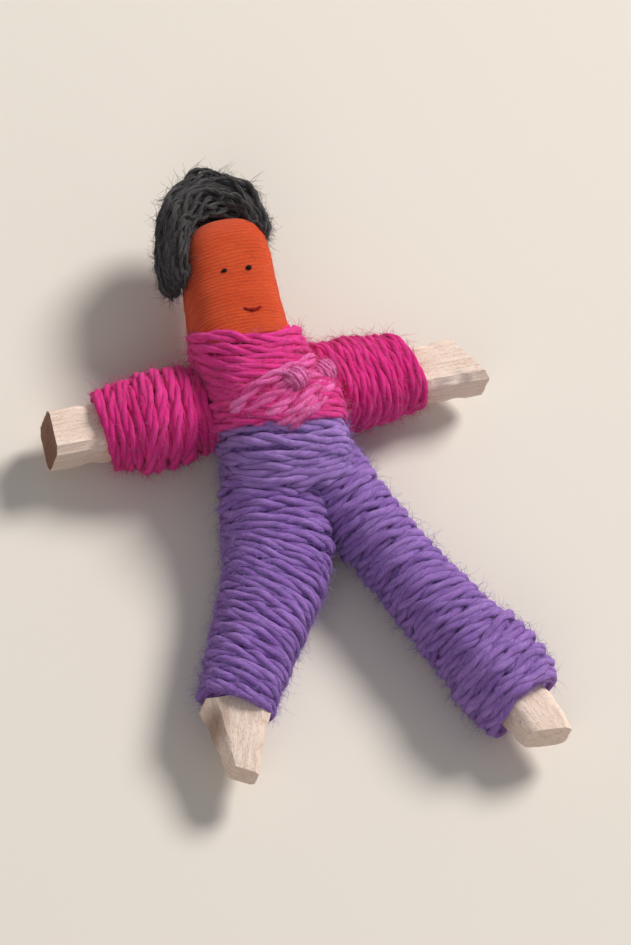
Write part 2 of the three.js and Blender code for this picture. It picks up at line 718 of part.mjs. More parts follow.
addPiece('arm_stick', armStick(), 'wood');
addPiece('spine_stick', spineStick(), 'wood');
addPiece('chest_lashing', chestLashing, 'string');
addPiece('hip_lashing', hipLashing, 'string');
addSleeve('left', -1, LEFT_HAND_REACH - LEFT_HAND_LENGTH - SLEEVE_START);
addSleeve('right', 1, RIGHT_HAND_REACH - RIGHT_HAND_LENGTH - SLEEVE_START);
addPiece('shirt_core', shirtCore(), 'shirt');
addPiece('shirt_winding', shirtWinding('shirt_winding'), 'shirt');
addPiece('hip_core', hipCore(), 'trousers');
addPiece('hip_winding', hipWinding('hip_winding'), 'trousers');
addPiece('face_wrap', faceWrap(), 'face');

export default doll;
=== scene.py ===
"""Looks of the thread-wound doll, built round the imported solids.

Lengths are in millimetres, apart from those of the floor and the lamps and of bumps, which are in metres.
"""

import math

import bmesh
import bpy
import numpy as np
from mathutils import Matrix, Vector


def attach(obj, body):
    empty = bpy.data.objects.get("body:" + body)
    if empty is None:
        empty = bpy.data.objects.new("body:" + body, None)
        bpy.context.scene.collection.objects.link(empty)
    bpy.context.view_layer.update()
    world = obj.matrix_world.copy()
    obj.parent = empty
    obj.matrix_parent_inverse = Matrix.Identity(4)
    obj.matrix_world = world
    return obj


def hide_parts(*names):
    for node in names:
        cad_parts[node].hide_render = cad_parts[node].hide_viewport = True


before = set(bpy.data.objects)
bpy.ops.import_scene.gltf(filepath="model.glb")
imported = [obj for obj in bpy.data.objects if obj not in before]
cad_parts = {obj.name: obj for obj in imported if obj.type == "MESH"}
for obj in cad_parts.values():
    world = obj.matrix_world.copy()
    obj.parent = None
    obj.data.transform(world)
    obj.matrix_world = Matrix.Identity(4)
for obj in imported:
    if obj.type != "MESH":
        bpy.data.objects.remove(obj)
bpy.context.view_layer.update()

MM = 0.001
UP = np.array([0.0, 0.0, 1.0])
FULL_TURN = 2 * math.pi
LOWEST_THREAD = 0.004
LOWEST_FIBRE = 0.01
FIBRE_TWIST = 2.6
PLY_SHARE = 0.255
PRESSED_SHARE = 0.36
LIMB_TURN_STEPS = 84
SHIRT_TURN_STEPS = 100
rng = np.random.default_rng(11)


# Small mathematics


def unit(vectors):
    return vectors / np.maximum(np.linalg.norm(vectors, axis=-1, keepdims=True), 1e-12)


def lengths_along(path):
    steps = np.linalg.norm(np.diff(path, axis=0), axis=1)
    return np.concatenate([[0.0], np.cumsum(steps)])


def smooth_through(rows, count=400):
    """Catmull-Rom curve through table rows, evenly spaced along its first three columns."""
    rows = np.asarray(rows, float)
    ends = np.vstack([2 * rows[0] - rows[1], rows, 2 * rows[-1] - rows[-2]])
    pieces = []
    t = np.linspace(0, 1, 24, endpoint=False)[:, None]
    for a, b, c, d in zip(ends, ends[1:], ends[2:], ends[3:]):
        bent = (2 * a - 5 * b + 4 * c - d) * t**2 + (3 * b - a - 3 * c + d) * t**3
        pieces.append(0.5 * (2 * b + (c - a) * t + bent))
    dense = np.vstack([*pieces, rows[-1:]])
    along = lengths_along(dense[:, :3])
    even = np.linspace(0, along[-1], count)
    return even, np.column_stack([np.interp(even, along, dense[:, i]) for i in range(dense.shape[1])])


def wander(values, size, rates):
    """A smooth wavering of about the given size, with a few rates per unit and random phases."""
    total = np.zeros_like(values)
    for rate in rates:
        total += np.sin(values * rate * FULL_TURN + rng.uniform(0, FULL_TURN)) / len(rates)
    return total * size * 1.6


def section_reach(angle, wide, tall, squareness):
    across = np.abs(np.cos(angle) / wide) ** squareness
    upward = np.abs(np.sin(angle) / tall) ** squareness
    return (across + upward) ** (-1 / squareness)


# Materials


class Sock:
    """A shader socket that can be used in plain arithmetic."""

    def __init__(self, surface, socket):
        self.surface = surface
        self.socket = socket

    def math(self, operation, first, second):
        return self.surface.node("Math", {"operation": operation}, {0: first, 1: second})

    def __add__(self, other):
        return self.math("ADD", self, other)

    def __radd__(self, other):
        return self.math("ADD", other, self)

    def __sub__(self, other):
        return self.math("SUBTRACT", self, other)

    def __rsub__(self, other):
        return self.math("SUBTRACT", other, self)

    def __mul__(self, other):
        return self.math("MULTIPLY", self, other)

    def __rmul__(self, other):
        return self.math("MULTIPLY", other, self)

    def clamp(self):
        return self.surface.node("Clamp", {}, {0: self})


def colour(red, green, blue):
    """Screen colour, 0 to 255, as a linear colour."""
    shares = (value / 255 for value in (red, green, blue))
    return tuple(((v + 0.055) / 1.055) ** 2.4 if v > 10 / 255 else v / 12.92 for v in shares) + (1.0,)


def shaded(tint, factor):
    """The same colour, darker or lighter."""
    return tuple(min(1.0, value * factor) for value in tint[:3]) + (1.0,)


class Surface:
    """One material: its shader, and the nodes that vary its colour and its relief."""

    def __init__(self, name, roughness, sheen=0.0):
        self.material = bpy.data.materials.new(name)
        self.material.use_nodes = True
        self.tree = self.material.node_tree
        self.shader = self.tree.nodes["Principled BSDF"]
        self.set_sockets(self.shader, {
            "Roughness": roughness,
            "Specular IOR Level": 0.18,
            "Sheen Weight": sheen,
            "Sheen Roughness": 0.5,
        })

    def set_sockets(self, node, values):
        for socket, value in values.items():
            if isinstance(value, Sock):
                self.tree.links.new(value.socket, node.inputs[socket])
            else:
                node.inputs[socket].default_value = value

    def node(self, kind, settings, values, output=0):
        """Any shader node, from its type, its settings and the values or links of its sockets."""
        node = self.tree.nodes.new("ShaderNode" + kind)
        for name, setting in settings.items():
            if name == "stops":
                bar = node.color_ramp.elements
                while len(bar) < len(setting):
                    bar.new(0.5)
                for element, (place, tint) in zip(bar, setting):
                    element.position = place
                    element.color = tint
            else:
                setattr(node, name, setting)
        self.set_sockets(node, values)
        return Sock(self, node.outputs[output])

    def attribute(self, name, kind="Vector"):
        return self.node("Attribute", {"attribute_name": name}, {}, kind)

    def place(self):
        return self.node("TexCoord", {}, {}, "Object")

    def scaled(self, vector, scale):
        return self.node("VectorMath", {"operation": "MULTIPLY"}, {0: vector, 1: scale})

    def noise(self, vector, scale, detail=3.0, roughness=0.6):
        values = {"Vector": vector, "Scale": scale, "Detail": detail, "Roughness": roughness}
        return self.node("TexNoise", {}, values, "Fac")

    def ramp(self, value, stops):
        return self.node("ValToRGB", {"stops": stops}, {0: value}, "Color")

    def mix(self, factor, first, second, blend="MIX"):
        return self.node("Mix", {"data_type": "RGBA", "blend_type": blend}, {0: factor, 6: first, 7: second}, 2)

    def finish(self, tint, height, distance):
        """The colour, and the height of the bumps. Distance is in metres."""
        bump = self.node("Bump", {}, {"Distance": distance, "Height": height})
        self.set_sockets(self.shader, {"Base Color": tint, "Normal": bump})
        return self.material


def yarn_material(name, dark, middle, light, sheen=0.1, fibre=1.0):
    """Spun cotton: fibres run round each ply, grooves and the undersides of plies are painted darker as shade and
    their tops lighter as highlight, and the dye varies in patches.
    """
    surface = Surface(name, 0.92, sheen)
    strand = surface.attribute("strand")
    crest = surface.attribute("crest", "Fac")
    fibres = surface.noise(surface.scaled(strand, (9.0, 9.0, 1.1)), 1.6, 3.0, 0.6)
    fine = surface.noise(surface.scaled(strand, (22.0, 22.0, 2.2)), 1.6, 2.0, 0.6)
    patches = surface.noise(surface.place(), 900.0, 2.0)
    # Painted light: grooves and undersides darker as painted shade, tops lighter as painted highlight.
    tone = (crest * 0.5 + fibres * 0.95 + fine * 0.6 + patches * 0.4 - 0.62).clamp()
    tint = surface.ramp(tone, [(0.0, dark), (0.5, middle), (1.0, light)])
    height = fibres * 0.6 + fine * 0.6 * fibre
    return surface.finish(tint, height, 0.000065)


def fuzz_material(name, tint):
    surface = Surface(name, 0.9, 0.3)
    shade = surface.noise(surface.place(), 700.0, 2.0)
    return surface.finish(surface.mix(shade, shaded(tint, 0.75), shaded(tint, 1.25)), shade, 0.00001)


def wood_tint(surface, grain):
    """Pale split wood with long streaks. Grain is a vector in millimetres, its last part along the stick."""
    streak = surface.noise(surface.scaled(grain, (7.0, 7.0, 0.35)), 1.0, 5.0, 0.65)
    fine = surface.noise(surface.scaled(grain, (30.0, 30.0, 1.0)), 1.0, 3.0, 0.7)
    tone = (streak * 0.85 + fine * 0.3 - 0.06).clamp()
    tint = surface.ramp(tone, [
        (0.0, colour(192, 156, 130)), (0.4, colour(226, 200, 182)),
        (0.6, colour(240, 220, 206)), (1.0, colour(250, 238, 228)),
    ])
    return tint, streak * 0.7 + fine * 0.5


def wood_material():
    surface = Surface("split_wood", 0.62)
    grain = surface.attribute("grain")
    tint, height = wood_tint(surface, grain)
    pores = surface.noise(surface.scaled(grain, (16.0, 16.0, 5.0)), 1.4, 2.0, 0.5)
    dust = surface.ramp(pores, [(0.3, colour(200, 160, 132)), (0.46, colour(255, 255, 255))])
    dusty = surface.mix(0.45, tint, dust, "MULTIPLY")
    # Painted shade: the cut ends and the browned edge of the left foot are mixed towards dark brown.
    end = (surface.attribute("end", "Fac") * (pores * 0.5 + 0.8)).clamp()
    return surface.finish(surface.mix(end, dusty, colour(112, 62, 34)), height, 0.00006)


def buried_wood_material():
    """Wood of the stick inside the doll, whose grain runs along Y."""
    surface = Surface("buried_wood", 0.62)
    place = surface.scaled(surface.place(), (1000, 1000, 1000))
    turned = surface.node("VectorRotate", {"rotation_type": "X_AXIS"}, {"Vector": place, "Angle": math.pi / 2})
    tint, height = wood_tint(surface, turned)
    return surface.finish(tint, height, 0.00006)


def buried_string_material():
    """Undyed twine of the lashings inside the doll."""
    surface = Surface("buried_string", 0.9, 0.1)
    fibres = surface.noise(surface.scaled(surface.place(), (2400, 2400, 9000)), 1.0, 4.0, 0.7)
    patches = surface.noise(surface.place(), 1200.0, 2.0)
    tone = (fibres * 0.8 + patches * 0.4 - 0.1).clamp()
    tint = surface.ramp(tone, [
        (0.0, colour(150, 130, 100)), (0.5, colour(205, 188, 160)), (1.0, colour(230, 218, 196)),
    ])
    return surface.finish(tint, fibres, 0.00008)


PURPLE = yarn_material("purple_thread", colour(84, 28, 90), colour(136, 92, 174), colour(182, 140, 216))
MAGENTA = yarn_material("magenta_thread", colour(160, 6, 86), colour(230, 18, 130), colour(255, 74, 170))
# The magenta thread again, painted lighter as highlight.
MAGENTA_PAINTED_HIGHLIGHT = yarn_material(
    "painted_highlight_magenta_thread", colour(204, 24, 122), colour(252, 70, 170), colour(255, 150, 214))
TERRACOTTA = yarn_material(
    "terracotta_thread", colour(174, 42, 13), colour(214, 66, 25), colour(226, 92, 42), fibre=0.6)
CHARCOAL = yarn_material("charcoal_wool", colour(22, 19, 20), colour(48, 43, 44), colour(86, 79, 80), sheen=0.3)
BLACK = yarn_material("black_stitch", colour(14, 10, 10), colour(30, 22, 22), colour(48, 38, 38), sheen=0.0)
RED = yarn_material("red_stitch", colour(110, 12, 14), colour(150, 20, 22), colour(178, 40, 38), sheen=0.0)
WOOD = wood_material()


# Meshes


class Bundle:
    """Collects tubes and lofted skins into one mesh, with the places that fibres can grow from.

    The rings, about fifty thousand in all, are worked out as arrays, because extruding so many one by one takes
    minutes. Each point carries its place along its own strand and its painted light, which paints grooves darker
    as shade.
    """

    def __init__(self):
        self.points = []
        self.faces = []
        self.strand = []
        self.crest = []
        self.outward = []
        self.flow = []
        self.count = 0

    def add(self, points, faces, strand, crest, outward, flow):
        self.faces += [[i + self.count for i in face] for face in faces]
        self.points.append(points)
        self.strand.append(strand)
        self.crest.append(crest)
        self.outward.append(outward)
        self.flow.append(flow)
        self.count += len(points)

    @staticmethod
    def grid_faces(rows, columns):
        row, column = np.meshgrid(np.arange(rows - 1), np.arange(columns), indexing="ij")
        first = row * columns + column
        second = row * columns + (column + 1) % columns
        quads = np.stack([first, second, second + columns, first + columns], axis=-1).reshape(-1, 4).tolist()
        quads.append(list(range(columns))[::-1])
        quads.append([(rows - 1) * columns + i for i in range(columns)])
        return quads

    def tube(self, path, outward, radius, sides=7, crest=None, taper=0.25):
        """A round strand. Painted light is how bright each ring is painted, from 0 in a groove, as painted shade,
        to 1 on top, as painted highlight.
        """
        along = lengths_along(path)
        tangent = unit(np.gradient(path, axis=0))
        normal = unit(outward - (outward * tangent).sum(1, keepdims=True) * tangent)
        side = np.cross(tangent, normal)
        angle = np.arange(sides) / sides * FULL_TURN
        size = np.broadcast_to(np.asarray(radius, float), along.shape).copy()
        size *= np.sqrt(np.clip(np.minimum(along, along[-1] - along) / taper, 0.04, 1.0))
        ray = (np.cos(angle)[None, :, None] * normal[:, None, :]
               + np.sin(angle)[None, :, None] * side[:, None, :])
        points = path[:, None, :] + size[:, None, None] * ray
        offset = rng.uniform(0, 50)
        spun = angle[None, :] + FIBRE_TWIST * along[:, None]
        far = np.broadcast_to(along[:, None] + offset, spun.shape)
        strand = np.stack([np.cos(spun) * 0.28, np.sin(spun) * 0.28, far], axis=-1)
        bright = np.full(along.shape, 0.6) if crest is None else crest
        # Painted shade: the side of each ring facing into the limb is darker, the outer side lighter.
        bright = bright[:, None] + 0.22 * (np.cos(angle)[None, :] - 0.5)
        facing = (ray * unit(outward)[:, None, :]).sum(-1)
        rays = np.where(facing[..., None] > 0.35, ray, 0.0)
        flow = np.broadcast_to(tangent[:, None, :], ray.shape)
        self.add(points.reshape(-1, 3), self.grid_faces(len(path), sides), strand.reshape(-1, 3),
                 np.clip(bright, 0, 1).reshape(-1), rays.reshape(-1, 3), flow.reshape(-1, 3))

    def floss(self, path, outward, width, plies=3, flat=0.6, lay=3.4, tone=0.0, taper=0.3, sides=7):
        """A soft thread of loosely twisted plies, pressed flat. Lay is the length of one full twist."""
        along = lengths_along(path)
        tangent = unit(np.gradient(path, axis=0))
        normal = unit(outward - (outward * tangent).sum(1, keepdims=True) * tangent)
        side = np.cross(tangent, normal)
        ply = width * PLY_SHARE
        ring = width * 0.5 - ply
        start = rng.uniform(0, FULL_TURN)
        for index in range(plies):
            spin = start + FULL_TURN * (index / plies + along / lay) + wander(along, 0.5, (0.13, 0.37))
            rise = np.cos(spin)
            place = (path + normal * (rise * ring * flat)[:, None]
                     + side * (np.sin(spin) * ring * 1.08 + wander(along, 0.012, (0.6, 1.3)))[:, None])
            size = ply * (1 + wander(along, 0.09, (0.3, 0.9)) + rng.normal(0, 0.05))
            # Painted shade and highlight: plies lying on top are lighter, those underneath darker; tone moves the
            # whole thread.
            bright = 0.5 + 0.2 * rise + tone + rng.normal(0, 0.06) + wander(along, 0.06, (0.15, 0.5))
            self.tube(place, outward, size, sides=sides, crest=bright, taper=taper)

    def loft(self, rings, crest=0.3):
        """A closed skin over rings of points, painted darker than the threads on it, as shade in the gaps between
        them.
        """
        rows, columns, _ = rings.shape
        points = rings.reshape(-1, 3)
        none = np.zeros_like(points)
        self.add(points, self.grid_faces(rows, columns), points, np.full(len(points), crest), none, none)

    def build(self, name, material):
        points = np.vstack(self.points)
        points[:, 2] = np.maximum(points[:, 2], LOWEST_THREAD)
        mesh = bpy.data.meshes.new(name)
        mesh.from_pydata((points * MM).tolist(), [], self.faces)
        mesh.attributes.new("strand", "FLOAT_VECTOR", "POINT").data.foreach_set(
            "vector", np.vstack(self.strand).astype(np.float32).ravel())
        mesh.attributes.new("crest", "FLOAT", "POINT").data.foreach_set(
            "value", np.concatenate(self.crest).astype(np.float32))
        return put(mesh, name, material)

    def fuzz(self, name, material, slot, count, length=0.5, rise=0.11, thickness=0.0075):
        """Loose fibres that leave the surface, curl over it and come down or stand a little off."""
        points = np.vstack(self.points)
        rays = np.vstack(self.outward)
        able = np.flatnonzero(np.linalg.norm(rays, axis=1) > 0.5)
        pick = rng.choice(able, count)
        start = points[pick][:, None, :]
        ray = unit(rays[pick] + rng.normal(0, 0.3, (count, 3)))[:, None, :]
        drift = rng.normal(size=(count, 1, 3))
        drift += np.vstack(self.flow)[pick][:, None, :] * rng.choice([-2.2, 0, 2.2], (count, 1, 1))
        drift = unit(drift - (drift * ray).sum(-1, keepdims=True) * ray)
        bend = np.cross(ray, drift)

        def each(low, high):
            return rng.uniform(low, high, (count, 1, 1))

        rows, sides = 5, 3
        step = np.linspace(0, 1, rows)[None, :, None]
        size = length * each(0.3, 1.5)
        curl = each(-1, 1) * step**2 * 0.8 + 0.1 * np.sin(step * each(2, 5) + each(0, 6))
        lift = rise * each(0.15, 1.0) ** 1.6 * 2.2 * np.sin(step * each(1.4, 3.1)) - 0.03
        path = start + size * step * drift + size * curl * bend + lift * ray
        tangent = unit(np.gradient(path, axis=1))
        side = unit(np.cross(tangent, ray + 0.01))
        normal = np.cross(side, tangent)
        angle = np.arange(sides) / sides * FULL_TURN
        width = (thickness * (1.15 - step * 0.85))[..., None]
        places = path[:, :, None, :] + width * (np.cos(angle)[:, None] * side[:, :, None, :]
                                                + np.sin(angle)[:, None] * normal[:, :, None, :])
        places[..., 2] = np.maximum(places[..., 2], LOWEST_FIBRE)
        base = (np.arange(count) * rows * sides)[:, None, None]
        row, column = np.meshgrid(np.arange(rows - 1), np.arange(sides), indexing="ij")
        first = row * sides + column
        second = row * sides + (column + 1) % sides
        quads = np.stack([first, second, second + sides, first + sides], axis=-1)[None] + base[..., None]
        mesh = bpy.data.meshes.new(name)
        mesh.from_pydata((places.reshape(-1, 3) * MM).tolist(), [], quads.reshape(-1, 4).tolist())
        return put(mesh, name, material)


def put(mesh, name, material):
    mesh.materials.append(material)
    mesh.polygons.foreach_set("use_smooth", [True] * len(mesh.polygons))
    mesh.update()
    thing = bpy.data.objects.new(name, mesh)
    bpy.context.collection.objects.link(thing)
    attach(thing, "root")
    return thing


# Windings


class Limb:
    """A curved middle line with half widths and half depths, given as rows of x, y, z, wide, tall."""

    def __init__(self, rows, squareness=2.4):
        self.along, table = smooth_through(rows)
        self.length = self.along[-1]
        self.table = table
        self.squareness = squareness

    def at(self, distance):
        values = [np.interp(distance, self.along, self.table[:, i]) for i in range(5)]
        centre = np.stack(values[:3], axis=-1)
        ahead, behind = (
            np.stack([np.interp(distance + step, self.along, self.table[:, i]) for i in range(3)], axis=-1)
            for step in (0.05, -0.05))
        tangent = unit(ahead - behind)
        across = unit(np.cross(UP, tangent))
        return centre, across, np.cross(tangent, across), values[3], values[4]

    def point(self, distance, angle, inset):
        centre, across, up, wide, tall = self.at(distance)
        reach = section_reach(angle, wide - inset, tall - inset, self.squareness)
        outward = (np.cos(angle) * reach)[..., None] * across + (np.sin(angle) * reach)[..., None] * up
        return centre + outward, outward

    def core(self, bundle, inset, start, end, slope):
        distance = np.linspace(start, self.length - end, 48)
        angle = np.arange(40) / 40 * FULL_TURN
        far, around = np.meshgrid(distance, angle, indexing="ij")
        tall = self.at(far)[4]
        rings, _ = self.point(far + slope * np.sin(around) * tall, around, inset)
        bundle.loft(rings)


def wind(bundle, limb, pitch, width, start=0.0, end=0.0, lean=(0.0, 0.0), slope=0.0, layer=0.0, loose=1.0,
         tone=0.0):
    """One thread round a limb, with both ends tucked under it.

    Lean is how far the first and last turns slant from side to side, and slope from front to back. A tone above
    nought paints the whole thread lighter, as painted light; below nought, darker, as painted shade.
    """
    half = width * PRESSED_SHARE
    room = limb.length - start - end - width
    turns = round(room / pitch)
    pitch = room / turns
    t = np.linspace(0, turns, turns * LIMB_TURN_STEPS)
    angle = t * FULL_TURN - math.pi / 2
    tilt = np.interp(t, [0, turns], lean) + wander(t, 0.03 * loose, (0.31, 0.73))
    distance = start + width / 2 + pitch * (t + wander(t, 0.06 * loose, (0.43, 0.93, 1.7)))
    _, _, _, wide, tall = limb.at(distance)
    distance = distance + tilt * np.cos(angle) * wide + slope * np.sin(angle) * tall
    tuck = np.clip(1 - np.minimum(t, turns - t) / 0.2, 0, 1) ** 1.5 * width * 0.8
    rise = layer + wander(t, 0.022 * loose, (0.27, 0.61, 1.31)) - tuck
    path, outward = limb.point(distance, angle, half - rise)
    bundle.floss(path, outward, width, tone=tone)


def limb_piece(name, rows, material, slot, nodes, pitch, width, fuzz, count, extras=(), squareness=2.4,
               cuff=True, **options):
    """A wound limb in place of its solids: a core, its winding, a close one at the cuff, and extra turns."""
    limb = Limb(rows, squareness)
    bundle = Bundle()
    spare, slope = options.get("end", 0.0), options.get("slope", 0.0)
    limb.core(bundle, width * 0.5, 0.3, 0.34 + spare, slope)
    wind(bundle, limb, pitch, width, **options)
    if cuff:
        last = options.get("lean", (0.0, 0.0))[1]
        wind(bundle, limb, pitch * 0.8, width * 0.9, start=limb.length - 1.5 - spare, end=0.02 + spare,
             lean=(last, last), slope=slope, layer=-0.13, loose=0.5)
    for extra in extras:
        wind(bundle, limb, pitch * 1.15, width, **extra)
    piece = bundle.build(name, material)
    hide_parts(*nodes)
    bundle.fuzz(f"{name}_fibres", fuzz, slot, count)
    return piece


PURPLE_FUZZ = fuzz_material("purple_fibres", colour(146, 120, 186))
MAGENTA_FUZZ = fuzz_material("magenta_fibres", colour(206, 66, 134))
CHARCOAL_FUZZ = fuzz_material("charcoal_fibres", colour(64, 58, 59))
TERRACOTTA_FUZZ = fuzz_material("terracotta_fibres", colour(214, 96, 56))

# The tone given to each limb below paints it lighter or darker for the light that falls on it: painted light and
# shade.
limb_piece("left_leg_yarn", [
    (-0.45, -3.30, 2.05, 2.05, 2.00), (-0.80, -4.60, 1.90, 2.06, 1.90), (-1.00, -6.00, 1.76, 2.12, 1.76),
    (-1.55, -7.30, 1.73, 2.00, 1.73), (-2.42, -8.70, 1.70, 1.84, 1.70), (-3.46, -10.30, 1.64, 1.66, 1.62),
    (-4.68, -12.35, 1.57, 1.46, 1.44),
], PURPLE, "trouser_thread", ["left_leg_core", "left_leg_winding"], 0.48, 0.6, PURPLE_FUZZ, 5200,
    lean=(-0.02, 0.10), slope=0.04, tone=-0.12)

limb_piece("right_leg_yarn", [
    (1.15, -2.90, 2.25, 1.55, 1.90), (1.78, -4.30, 2.00, 1.58, 1.80), (2.70, -6.00, 1.80, 1.42, 1.58),
    (3.66, -8.10, 1.70, 1.42, 1.50), (4.66, -10.30, 1.72, 1.60, 1.62), (5.68, -12.40, 1.74, 1.74, 1.72),
    (6.55, -14.35, 1.66, 1.60, 1.58),
], PURPLE, "trouser_thread", ["right_leg_core", "right_leg_winding"], 0.48, 0.6, PURPLE_FUZZ, 5600,
    lean=(0.0, 0.12), slope=-0.03, extras=[{"start": 9.4, "end": 0.1, "lean": (-0.2, -0.12), "layer": 0.17}])

limb_piece("hip_yarn", [
    (0.20, -0.70, 2.46, 2.30, 2.40), (0.20, -1.60, 2.46, 2.40, 2.46), (0.20, -2.50, 2.44, 2.46, 2.40),
    (0.18, -3.30, 2.30, 2.50, 2.20), (0.20, -4.20, 2.10, 2.58, 1.98),
], PURPLE, "trouser_thread", ["hip_core", "hip_winding"], 0.37, 0.56, PURPLE_FUZZ, 2800,
    lean=(0.2, -0.24), slope=0.34, squareness=2.6, loose=0.7, tone=0.5, cuff=False)

limb_piece("left_sleeve_yarn", [
    (-1.60, 0.10, 1.95, 1.60, 1.62), (-2.60, 0.08, 1.80, 1.70, 1.72), (-4.00, 0.03, 1.74, 1.80, 1.78),
    (-5.30, 0.05, 1.70, 1.70, 1.68), (-6.40, 0.11, 1.68, 1.50, 1.50), (-7.00, 0.12, 1.68, 1.48, 1.48),
], MAGENTA, "shirt_thread", ["left_sleeve_core", "left_sleeve_winding"], 0.4, 0.47, MAGENTA_FUZZ, 3200,
    squareness=2.2, loose=0.8, end=0.6, slope=0.24, tone=-0.12,
    extras=[{"start": 1.0, "end": 1.9, "lean": (0.24, 0.16), "layer": 0.12, "tone": 0.06}])

limb_piece("right_sleeve_yarn", [
    (1.60, 0.12, 2.00, 1.56, 1.60), (2.70, 0.10, 1.86, 1.62, 1.66), (3.90, 0.12, 1.74, 1.68, 1.70),
    (5.20, 0.20, 1.70, 1.60, 1.62), (6.30, 0.22, 1.68, 1.50, 1.50), (6.80, 0.22, 1.68, 1.48, 1.48),
], MAGENTA, "shirt_thread", ["right_sleeve_core", "right_sleeve_winding"], 0.4, 0.47, MAGENTA_FUZZ, 3000,
    squareness=2.2, loose=0.8, end=0.5, lean=(0.0, -0.24), tone=-0.14,
    extras=[{"start": 0.8, "end": 1.7, "lean": (-0.22, -0.2), "layer": 0.11, "tone": 0.05}])


# Shirt


class Trunk:
    """The rounded body of the shirt. Its front lies a little lower than its back."""

    centre = np.array([0.0, 0.12, 2.48])
    wide, long, deep = 2.50, 2.0, 2.44
    lean = np.array([-0.12, 0.0, -0.30])

    def reach(self, origin, direction, inset):
        low = np.zeros(len(direction))
        high = np.full(len(direction), 6.0)
        for _ in range(30):
            middle = (low + high) / 2
            p = origin + direction * middle[:, None] - self.centre
            flat = np.hypot(p[:, 0] / (self.wide - inset), p[:, 2] / (self.deep - inset))
            level = flat**3.6 + np.abs(p[:, 1] / (self.long - inset)) ** 3.6
            inside = level < 1
            low = np.where(inside, middle, low)
            high = np.where(inside, high, middle)
        return low

    def sheared(self, points):
        points = points.copy()
        points[..., 1] += (points - self.centre) @ self.lean
        return points

    def wind(self, bundle, lean, offsets, pitch, width, layer=0.0):
        normal = np.array([-math.sin(lean), math.cos(lean), 0.0])
        forward = np.array([math.cos(lean), math.sin(lean), 0.0])
        turns = round((offsets[1] - offsets[0]) / pitch)
        t = np.linspace(0, turns, turns * SHIRT_TURN_STEPS)
        angle = t * FULL_TURN - math.pi / 2
        hub = self.centre + (offsets[0] + pitch * (t + wander(t, 0.1, (0.43, 0.9))))[:, None] * normal
        direction = np.cos(angle)[:, None] * forward + np.sin(angle)[:, None] * UP
        reach = self.reach(hub, direction, width * PRESSED_SHARE - layer - wander(t, 0.03, (0.3, 0.7)))
        # Painted light: the shirt's turns are painted lighter by their tone.
        bundle.floss(self.sheared(hub + direction * reach[:, None]), direction, width, tone=0.45)

    def front(self, places):
        """A path over the front through rows of x, y and height above the skin."""
        _, rows = smooth_through(places, 80)
        hub = np.column_stack([rows[:, :2], np.full(len(rows), self.centre[2])])
        up = np.broadcast_to(UP, hub.shape)
        reach = self.reach(hub, up, -rows[:, 2])
        return self.sheared(hub + up * reach[:, None])

    def core(self, bundle, inset):
        angle = np.arange(48) / 48 * FULL_TURN
        rings = []
        for part in np.sin(np.linspace(-1, 1, 33)[1:-1] * math.pi / 2):
            hub = np.broadcast_to(self.centre + np.array([0, part * (self.long - inset), 0]), (48, 3))
            direction = np.stack([np.cos(angle), angle * 0, np.sin(angle)], axis=-1)
            rings.append(hub + direction * self.reach(hub, direction, inset)[:, None])
        bundle.loft(self.sheared(np.array(rings))[:, ::-1])


trunk = Trunk()
shirt = Bundle()
trunk.core(shirt, 0.34)
trunk.wind(shirt, math.radians(-40), (-1.6, 1.6), 0.4, 0.48, layer=-0.12)
trunk.wind(shirt, math.radians(40), (-1.75, 1.5), 0.4, 0.48, layer=0.03)
shirt_piece = shirt.build("shirt_yarn", MAGENTA)
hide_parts("shirt_core", "shirt_winding")
shirt.fuzz("shirt_yarn_fibres", MAGENTA_FUZZ, "shirt_thread", 3800)

# The shoulders and the collar go round the neck, lower in front than behind
collar = Bundle()
collar_limb = Limb([
    (-0.05, -0.30, 2.90, 2.24, 2.10), (-0.20, 0.70, 3.15, 2.22, 2.04), (-0.34, 1.60, 3.36, 2.16, 1.94),
    (-0.42, 2.50, 3.42, 2.06, 1.84),
], 2.5)
collar_limb.core(collar, 0.3, 0.1, 0.4, -0.36)
# Painted light: the collar is painted lighter by its tone.
wind(collar, collar_limb, 0.36, 0.48, slope=-0.36, lean=(0.2, 0.2), loose=0.5, tone=0.4)
collar.build("collar_yarn", MAGENTA)
collar.fuzz("collar_yarn_fibres", MAGENTA_FUZZ, "shirt_thread", 1800)

# The last turns of the shirt lie over the top of the trousers
waist = Bundle()
waist_limb = Limb([
    (0.16, 0.30, 2.46, 2.30, 2.36), (0.18, -0.30, 2.46, 2.44, 2.50), (0.20, -0.90, 2.46, 2.53, 2.58),
    (0.20, -1.60, 2.45, 2.55, 2.56), (0.20, -2.90, 2.42, 2.50, 2.48),
], 2.6)
# Painted light: the waist turns are painted lighter by their tone.
wind(waist, waist_limb, 0.36, 0.46, end=1.25, lean=(0.1, 0.14), slope=0.35, layer=0.08, loose=0.6, tone=0.3)
waist.build("waist_yarn", MAGENTA)
waist.fuzz("waist_yarn_fibres", MAGENTA_FUZZ, "shirt_thread", 1400)

